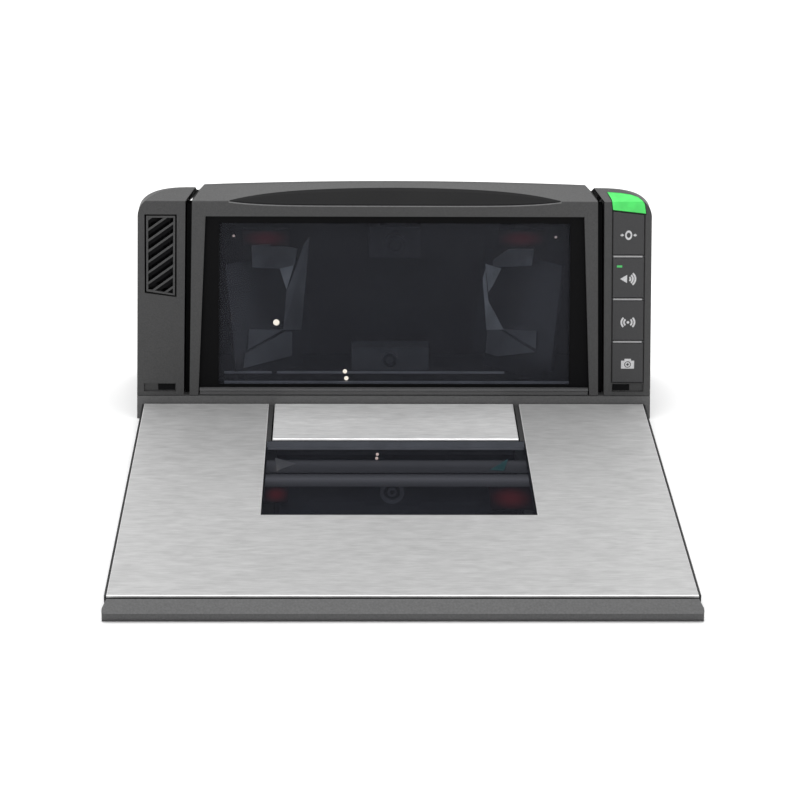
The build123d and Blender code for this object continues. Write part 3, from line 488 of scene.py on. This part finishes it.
def add_box(bm, low, high):
    """Box between two opposite corners in millimetres."""
    corners = [bm.verts.new((x * MM, y * MM, z * MM)) for x in (low[0], high[0])
               for y in (low[1], high[1]) for z in (low[2], high[2])]
    for a, b, c, d in ((0, 1, 3, 2), (4, 6, 7, 5), (0, 4, 5, 1),
                       (2, 3, 7, 6), (0, 2, 6, 4), (1, 5, 7, 3)):
        bm.faces.new((corners[a], corners[b], corners[c], corners[d]))


def boxes(name, spans, material, body):
    """A few small rounded bars made as one piece; spans are opposite corners in millimetres."""
    def edit(bm):
        for low, high in spans:
            add_box(bm, low, high)

    obj = object_from(name, edit, material, body)
    bevel = obj.modifiers.new("round", "BEVEL")
    bevel.width = BAR_ROUNDING * MM
    bevel.segments = 2


def ring(name, centre, r_in, r_out, depth, material, body, steps=48):
    """Turned ring facing the front; it is highest midway between its inner and outer edge."""
    def edit(bm):
        shoulder = 0.3 * depth
        profile = [(r_in, depth), (r_in, shoulder), ((r_in + r_out) / 2, 0.0), (r_out, shoulder),
                   (r_out, depth)]
        loops = []
        for i in range(steps):
            turn = 2 * math.pi * i / steps
            loops.append([])
            for radius, back in profile:
                place = (radius * math.cos(turn), back, radius * math.sin(turn))
                loops[-1].append(bm.verts.new([(c + p) * MM for c, p in zip(centre, place)]))
        for i in range(steps):
            here = loops[i]
            after = loops[(i + 1) % steps]
            for k in range(len(profile)):
                m = (k + 1) % len(profile)
                bm.faces.new((here[k], here[m], after[m], after[k]))

    smooth(object_from(name, edit, material, body))


def dome(name, spots, radius, material, body):
    """Small lens caps facing the front."""
    def edit(bm):
        for x, y, z in spots:
            tip = Matrix.Translation((x * MM, y * MM, z * MM)) @ Matrix.Diagonal((1, 0.6, 1, 1))
            bmesh.ops.create_icosphere(bm, subdivisions=3, radius=radius * MM, matrix=tip)

    smooth(object_from(name, edit, material, body))


def arc_band(cx, cz, r_in, r_out, start, end, squeeze=1.0, steps=14):
    """Outlines of a curved band, as a chain of four-sided pieces."""
    pieces = []
    for i in range(steps):
        a = math.radians(start + (end - start) * i / steps)
        b = math.radians(start + (end - start) * (i + 1) / steps)
        pieces.append([
            (cx + r_in * squeeze * math.cos(a), cz + r_in * math.sin(a)),
            (cx + r_out * squeeze * math.cos(a), cz + r_out * math.sin(a)),
            (cx + r_out * squeeze * math.cos(b), cz + r_out * math.sin(b)),
            (cx + r_in * squeeze * math.cos(b), cz + r_in * math.sin(b)),
        ])
    return pieces


def disc(cx, cz, radius, steps=16):
    turns = [2 * math.pi * i / steps for i in range(steps)]
    return [[(cx + radius * math.cos(turn), cz + radius * math.sin(turn)) for turn in turns]]


# ---- keys --------------------------------------------------------------------------
SYMBOL_PROUD = 0.08
SYMBOL_SINK = 0.05
STROKE = 1.0
DIVIDER_MARGIN = 0.9
DIVIDER_HALF = 0.5
DIVIDER_PROUD = 0.1
DIVIDER_SINK = 0.5


def zero_symbol(x, z):
    """Nought between two arrows that point at it."""
    shapes = arc_band(x, z, 1.55 * MM, 2.75 * MM, 0, 360, 0.72, 28)
    head = 0.95 * MM
    shaft = 0.3 * MM
    for side in (-1, 1):
        tip = x + side * 2.5 * MM
        base = x + side * 3.9 * MM
        end = x + side * 4.6 * MM
        shapes.append([(tip, z), (base, z + head), (base, z - head)])
        shapes.append([(base, z + shaft), (end, z + shaft), (end, z - shaft), (base, z - shaft)])
    return shapes


def volume_symbol(x, z):
    """Loudspeaker cone with three sound waves."""
    left = x - 4.6 * MM
    right = left + 3.9 * MM
    shapes = [[(left, z), (right, z + 2.4 * MM), (right, z - 2.4 * MM)]]
    for radius in (0.9, 2.3, 3.7):
        shapes += arc_band(x - 0.2 * MM, z, radius * MM, (radius + STROKE) * MM, -52, 52)
    return shapes


def alert_symbol(x, z):
    """Dot with two waves on each side."""
    shapes = disc(x, z, 0.8 * MM)
    for side in (0, 180):
        for radius, spread in ((1.7, 50), (3.2, 46)):
            shapes += arc_band(x, z, radius * MM, (radius + STROKE) * MM,
                               side - spread, side + spread)
    return shapes


def camera_symbol(x, z):
    """Camera with a hump on top, cut into columns around its lens, and a ring in the lens."""
    half = 3.7 * MM
    low = z - 2.9 * MM
    top = z + 1.8 * MM
    hump_half = 1.9 * MM
    hump_height = 1.1 * MM
    lens_z = z - 0.45 * MM
    lens_radius = 1.9 * MM
    cells = []
    columns = 24
    for i in range(columns):
        x0 = x - half + 2 * half * i / columns
        x1 = x - half + 2 * half * (i + 1) / columns
        centre = (x0 + x1) / 2 - x
        roof = top + hump_height if abs(centre) < hump_half else top
        reach = math.sqrt(max(0.0, lens_radius ** 2 - centre ** 2))
        if reach > 0.1 * MM:
            cells.append([(x0, low), (x1, low), (x1, lens_z - reach), (x0, lens_z - reach)])
            cells.append([(x0, lens_z + reach), (x1, lens_z + reach), (x1, roof), (x0, roof)])
        else:
            cells.append([(x0, low), (x1, low), (x1, roof), (x0, roof)])
    cells += arc_band(x, lens_z, 0.75 * MM, 1.45 * MM, 0, 360, 1.0, 20)
    return cells


# Each symbol, and how far its middle lies below the middle of its key.
SYMBOLS = {"key_zero": zero_symbol, "key_volume": volume_symbol, "key_alert": alert_symbol,
           "key_camera": camera_symbol}
SYMBOL_DROP = {"key_zero": 1.0, "key_volume": 0.6, "key_alert": 1.0, "key_camera": 0.5}


def key_symbols():
    """Printed symbol on the front of each key."""
    for node, draw in SYMBOLS.items():
        low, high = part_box(node)
        x = (low.x + high.x) / 2
        z = (low.z + high.z) / 2 - SYMBOL_DROP[node] * MM
        face = low.y

        def edit(bm, shapes=draw(x, z), y=face):
            for outline in shapes:
                add_prism(bm, outline, y - SYMBOL_PROUD * MM, y + SYMBOL_SINK * MM)

        object_from(node + "_symbol", edit, "icon", node)


def key_dividers():
    """Slim bright bars between the keys."""
    names = list(SYMBOLS)
    for upper, lower in zip(names, names[1:]):
        upper_low, upper_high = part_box(upper)
        lower_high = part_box(lower)[1]
        middle = (upper_low.z + lower_high.z) / 2
        left = upper_low.x + DIVIDER_MARGIN * MM
        right = upper_high.x - DIVIDER_MARGIN * MM
        bottom = middle - DIVIDER_HALF * MM
        top = middle + DIVIDER_HALF * MM
        outline = [(left, bottom), (right, bottom), (right, top), (left, top)]

        def edit(bm, outline=outline, y=upper_low.y):
            add_prism(bm, outline, y - DIVIDER_PROUD * MM, y + DIVIDER_SINK * MM)

        object_from("divider_under_" + upper, edit, "divider", "housing")


# ---- tower -------------------------------------------------------------------------
# Lower edge of the badge's recess, and the lip that runs along it in a light colour, a painted
# highlight.
BADGE_EDGE_Z = 219.8
BADGE_BLUNTNESS = 5.5
BADGE_OVERHANG = 2
LIP_STEPS = 48
LIP_SHORT = 1.5
LIP_DROP = 0.05
LIP_HEIGHT = 0.6
LIP_PROUD = 0.06
LIP_SINK = 0.3
# The slanted mirrors: a place on their front, their slant, and how their facets step forward
# and up below a height.
TILE_X = 72.0
TILE_Y = 143.2
TILE_SLANT = 0.9
TILE_BEND_Z = 146.0
TILE_LEAN = 0.19
TILE_RISE = 0.327
TILE_THICKNESS = 0.8
# Glowing tiles on the slanted tower mirrors, painted reflections on their facets: distance from the
# middle of the tower, and height, in mm.
LEFT_DIM = [
    [(81.1, 186.4), (68.4, 184.1), (55.5, 178.2), (56.9, 169.0), (65.4, 169.0), (80.7, 173.6)],
    [(51.7, 180.0), (48.6, 183.3), (53.2, 129.0), (63.5, 131.8), (61.7, 153.8), (55.6, 168.8)],
    [(82.8, 137.0), (63.5, 131.8), (83.4, 125.4)],
    [(85.0, 123.2), (62.5, 130.2), (58.5, 129.0), (58.5, 114.8), (86.0, 114.8)],
]
LEFT_BRIGHT = [[(65.4, 169.0), (57.4, 169.1), (61.6, 155.2)]]
RIGHT_DIM = [
    [(57.5, 168.0), (78.7, 174.3), (79.8, 184.5), (66.2, 181.1), (57.5, 172.1)],
    [(63.9, 132.1), (81.9, 136.2), (81.6, 125.2)],
    [(55.0, 132.0), (63.0, 131.0), (81.2, 123.4), (60.0, 114.8), (54.0, 115.5)],
]
RIGHT_BRIGHT = [
    [(53.2, 168.9), (62.1, 168.4), (57.6, 157.1), (55.2, 152.4)],
    [(53.4, 166.0), (55.3, 146.9), (63.9, 132.1), (54.3, 129.5), (51.9, 159.6)],
]


def add_tile(bm, outline, side):
    """Thin glowing plate, a painted reflection, that lies just in front of the slanted mirror on one
    side of the tower.
    """
    front = []
    back = []
    for x, z in outline:
        ahead = TILE_LEAN * max(0.0, TILE_BEND_Z - z)
        y = TILE_Y - TILE_SLANT * (x - TILE_X) - ahead
        z += TILE_RISE * ahead
        front.append((side * x * MM, y * MM, z * MM))
        back.append((side * x * MM, (y + TILE_THICKNESS) * MM, z * MM))
    add_slab(bm, front, back)


def mirror_reflection_tiles():
    """Painted reflections on the facets of the two mirrors, as glowing tiles; dim and bright ones as
    separate pieces.
    """
    groups = (("left_dim", LEFT_DIM, -1), ("left_bright", LEFT_BRIGHT, -1),
              ("right_dim", RIGHT_DIM, 1), ("right_bright", RIGHT_BRIGHT, 1))
    for name, outlines, side in groups:
        def edit(bm, outlines=outlines, side=side):
            for outline in outlines:
                add_tile(bm, outline, side)

        tone = "tile_bright" if name.endswith("bright") else "tile_dim"
        object_from("mirror_reflection_tiles_" + name, edit, tone, "housing")


def badge_lip():
    """Slim raised lip that follows the lower edge of the badge on the front face, in a light colour
    that paints the highlight along that edge.
    """
    low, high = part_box("badge_inset")
    half = high.x + BADGE_OVERHANG * MM
    sag = BADGE_EDGE_Z * MM - low.z
    height = LIP_HEIGHT * MM
    lip = []
    for i in range(LIP_STEPS + 1):
        x = (2 * i / LIP_STEPS - 1) * (half - LIP_SHORT * MM)
        edge = BADGE_EDGE_Z * MM - sag * (1 - abs(x / half) ** BADGE_BLUNTNESS)
        lip.append((x, edge - LIP_DROP * MM))

    def edit(bm):
        for (x0, z0), (x1, z1) in zip(lip, lip[1:]):
            add_prism(bm, [(x0, z0 - height), (x1, z1 - height), (x1, z1), (x0, z0)],
                      low.y - LIP_PROUD * MM, low.y + LIP_SINK * MM)
        bmesh.ops.remove_doubles(bm, verts=bm.verts, dist=1e-6)

    object_from("badge_lip", edit, "edge", "housing")


def tower_details():
    """Behind the tower window: painted reflections on the mirror facets, ledges that glow as painted
    light, painted red lamp glows, painted glints and lens rings; and the badge's lip, a painted
    highlight.
    """
    mirror_reflection_tiles()
    # The ledge and the rest under the tower window glow in the rim colour: painted light.
    boxes("window_ledge", [((-97, 124.5, 113.6), (-69.8, 127, 114.4)),
                           ((-66.8, 124.5, 113.6), (63.5, 127, 114.4))],
          "rim", "housing")
    boxes("window_rest", [((-96.6, 114.2, 110.7), (102.0, 116.5, 111.9))],
          "rim", "housing")
    # These boxes paint the red glow of the lamps on the mirrors behind the window; they are no
    # lamps.
    for name, x in (("left", -73.0), ("right", 73.0)):
        boxes("tower_lamp_glow_" + name, [((x - 13.5, 144.4, 183.5), (x + 13.5, 145.2, 193.0))],
              "tower_glow", "housing")
    # Small glowing domes behind the tower window: painted glints.
    dome("aim_lamp_glints", [(-90.4, 116.3, 197.3), (90.6, 116.3, 196.9)], 0.7,
         "spark_soft", "housing")
    dome("work_lamp_glints", [(-27.9, 116.6, 117.5), (-27.1, 116.6, 113.4)], 1.25,
         "spark", "housing")
    dome("mirror_lamp_glint", [(-66.9, 121.0, 145.2)], 1.8, "spark", "housing")
    ring("tower_lens_ring", (0.7, 144.6, 184.0), 3.2, 5.6, 1.6, "inner", "housing")
    badge_lip()
    ring("colour_lens_ring", (-2.0, 141.7, 116.0), 2.2, 4.4, 1.4, "inner", "housing")


# ---- platter window ----------------------------------------------------------------
# Half the width of the pane that shows, and the thin sheets just inside its underside that glow to
# paint the lit bands, red glows and flares seen through it.
PANE_EDGE_X = 70.2
SHEET_THICKNESS = 0.1
SHEET_LIFT = 0.02
FLARE_LIFT = 0.2
LENS_AHEAD = 1.2
LENS_RING_DEPTH = 1.1


def pane_sheet(name, outline, material, lift=SHEET_LIFT):
    """Flat glowing shape just inside the pane's underside, painting light seen through the pane; its
    outline is x and y in millimetres.
    """
    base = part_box("platter_glass")[0].z + lift * MM
    top = base + SHEET_THICKNESS * MM

    def edit(bm):
        add_slab(bm, [(x * MM, y * MM, base) for x, y in outline],
                 [(x * MM, y * MM, top) for x, y in outline])

    object_from(name, edit, material, "platter")


def strip(x0, x1, y0, y1):
    return [(x0, y0), (x1, y0), (x1, y1), (x0, y1)]


def platter_window_details():
    """Painted light seen in the horizontal window: glowing bands, red glows, flares, glints and lens
    rings; and seals beside the infill.
    """
    # The rim around the lower window glows dimly: painted light.
    boxes("lower_window_rim", [((-66, -71.4, 92.0), (66, -69.4, 92.6)),
                               ((-68, -71.4, 92.0), (-66, 35.4, 92.6)),
                               ((66, -71.4, 92.0), (68, 35.4, 92.6))],
          "rim_dim", "housing")
    # Bands under the pane: glowing sheets painting the lit rim and bars seen through it.
    for name, front, back, material in (("edge", 38.4, 41.9, "rim_dim"),
                                        ("back", 0.6, 20.6, "bar_back"),
                                        ("cross", -21.5, -2.0, "bar_cross")):
        pane_sheet("pane_band_" + name, strip(-PANE_EDGE_X, PANE_EDGE_X, front, back),
                   material)
    # Red glow painted under the pane.
    pane_sheet("pane_glow_left", strip(-PANE_EDGE_X, -57.5, -46.0, -22.0), "lower_glow")
    pane_sheet("pane_glow_right", strip(48.0, PANE_EDGE_X, -57.0, -22.0), "lower_glow")
    # Flares: painted reflections under the pane.
    pane_sheet("pane_flare_left", [(-65.8, 24.4), (-54.3, 14.6), (-64.3, 3.2)],
               "flare", FLARE_LIFT)
    pane_sheet("pane_flare_right", [(50.2, 5.0), (60.8, 23.0), (57.6, 3.4)],
               "flare_teal", FLARE_LIFT)
    # Two glowing domes under the pane: painted glints.
    dome("pane_glints", [(-10.2, 28.0, 98.2), (-10.6, 21.4, 98.2)], 0.85,
         "spark_soft", "platter")
    low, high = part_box("lower_camera")
    lens = ((low.x + high.x) / 2 / MM, low.y / MM - LENS_AHEAD, (low.z + high.z) / 2 / MM)
    # The lower lens rings glow in the rim colour: painted light.
    ring("lower_lens_ring", lens, 4.6, 6.8, LENS_RING_DEPTH, "rim", "housing")
    ring("lower_lens_core", lens, 1.4, 2.6, LENS_RING_DEPTH, "rim", "housing")
    boxes("infill_seals", [((-70.9, 44.6, 99.4), (-68.5, 105.4, 100.3)),
                           ((68.5, 44.6, 99.4), (70.9, 105.4, 100.3))],
          "shell", "platter")


# ---- studio ------------------------------------------------------------------------
def place_camera():
    """Camera from a place, a heading, a tilt and a slight roll, in radians."""
    data = bpy.data.cameras.new("camera")
    data.lens = CAMERA_LENS
    data.sensor_width = CAMERA_SENSOR
    data.clip_start = CAMERA_NEAR
    data.clip_end = CAMERA_FAR
    camera = bpy.data.objects.new("camera", data)
    bpy.context.scene.collection.objects.link(camera)
    forward = Vector((math.sin(CAMERA_YAW) * math.cos(CAMERA_PITCH),
                      math.cos(CAMERA_YAW) * math.cos(CAMERA_PITCH), -math.sin(CAMERA_PITCH)))
    right = Vector((math.cos(CAMERA_YAW), -math.sin(CAMERA_YAW), 0))
    up = right.cross(forward)
    tilted_right = right * math.cos(CAMERA_ROLL) + up * math.sin(CAMERA_ROLL)
    tilted_up = up * math.cos(CAMERA_ROLL) - right * math.sin(CAMERA_ROLL)
    turn = Matrix((tilted_right, tilted_up, -forward)).transposed()
    camera.matrix_world = Matrix.Translation(CAMERA_AT) @ turn.to_4x4()
    bpy.context.scene.camera = camera


def counter():
    """Pale counter with the cut-out that the housing hangs in."""
    low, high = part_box("lower_housing")
    hole_x = high.x + CUTOUT_SIDE_GAP * MM
    hole_y0 = low.y - CUTOUT_FRONT_GAP * MM
    hole_y1 = high.y + CUTOUT_BACK_GAP * MM
    floor_z = COUNTER_TOP - CUTOUT_DEPTH * MM
    xs = (-COUNTER_REACH, -hole_x, hole_x, COUNTER_REACH)
    ys = (-COUNTER_REACH, hole_y0, hole_y1, COUNTER_REACH)
    mesh = bpy.data.meshes.new("counter")
    bm = bmesh.new()
    grid = [[bm.verts.new((x, y, COUNTER_TOP)) for y in ys] for x in xs]
    for i in range(3):
        for j in range(3):
            if (i, j) != (1, 1):
                bm.faces.new((grid[i][j], grid[i + 1][j], grid[i + 1][j + 1], grid[i][j + 1]))
    rim = [grid[1][1], grid[2][1], grid[2][2], grid[1][2]]
    base = [bm.verts.new((v.co.x, v.co.y, floor_z)) for v in rim]
    for k in range(4):
        bm.faces.new((rim[k], base[k], base[(k + 1) % 4], rim[(k + 1) % 4]))
    bm.faces.new(base)
    bm.to_mesh(mesh)
    bm.free()
    surface = Surface("counter_white", (0.93, 0.93, 0.93), 0.85, specular=0.1)
    surface.vary_color(surface.noise(6, 2.0), amount=0.01)
    mesh.materials.append(surface.material)
    obj = bpy.data.objects.new("counter", mesh)
    bpy.context.scene.collection.objects.link(obj)


def area_light(name, at, target, size, power, glossy=True):
    """Soft rectangular light aimed at a point; glossy says whether it shows in reflections."""
    data = bpy.data.lights.new(name, "AREA")
    data.shape = "RECTANGLE"
    data.size, data.size_y = size
    data.energy = power
    obj = bpy.data.objects.new(name, data)
    obj.visible_glossy = glossy
    bpy.context.scene.collection.objects.link(obj)
    obj.location = at
    obj.rotation_euler = (Vector(target) - Vector(at)).to_track_quat("-Z", "Y").to_euler()


def studio():
    """White surroundings, a soft light above and in front, and one that whitens the far counter."""
    world = bpy.data.worlds.new("studio")
    world.use_nodes = True
    background = world.node_tree.nodes["Background"]
    background.inputs["Color"].default_value = (1, 1, 1, 1)
    background.inputs["Strength"].default_value = WORLD_STRENGTH
    bpy.context.scene.world = world
    area_light("top_soft", (0.0, -0.2, 2.2), (0, 0, 0.1), (2.4, 2.0), 32)
    area_light("front_soft", (-0.5, -2.2, 1.6), (0, 0, 0.15), (1.8, 1.4), 10)
    area_light("far_soft", (0.0, 3.2, 2.6), (0, 2.6, 0.0), (5.0, 3.0), 80, glossy=False)
    bpy.context.scene.view_settings.view_transform = "Standard"


dress_cad_nodes()
key_symbols()
key_dividers()
tower_details()
platter_window_details()
place_camera()
counter()
studio()
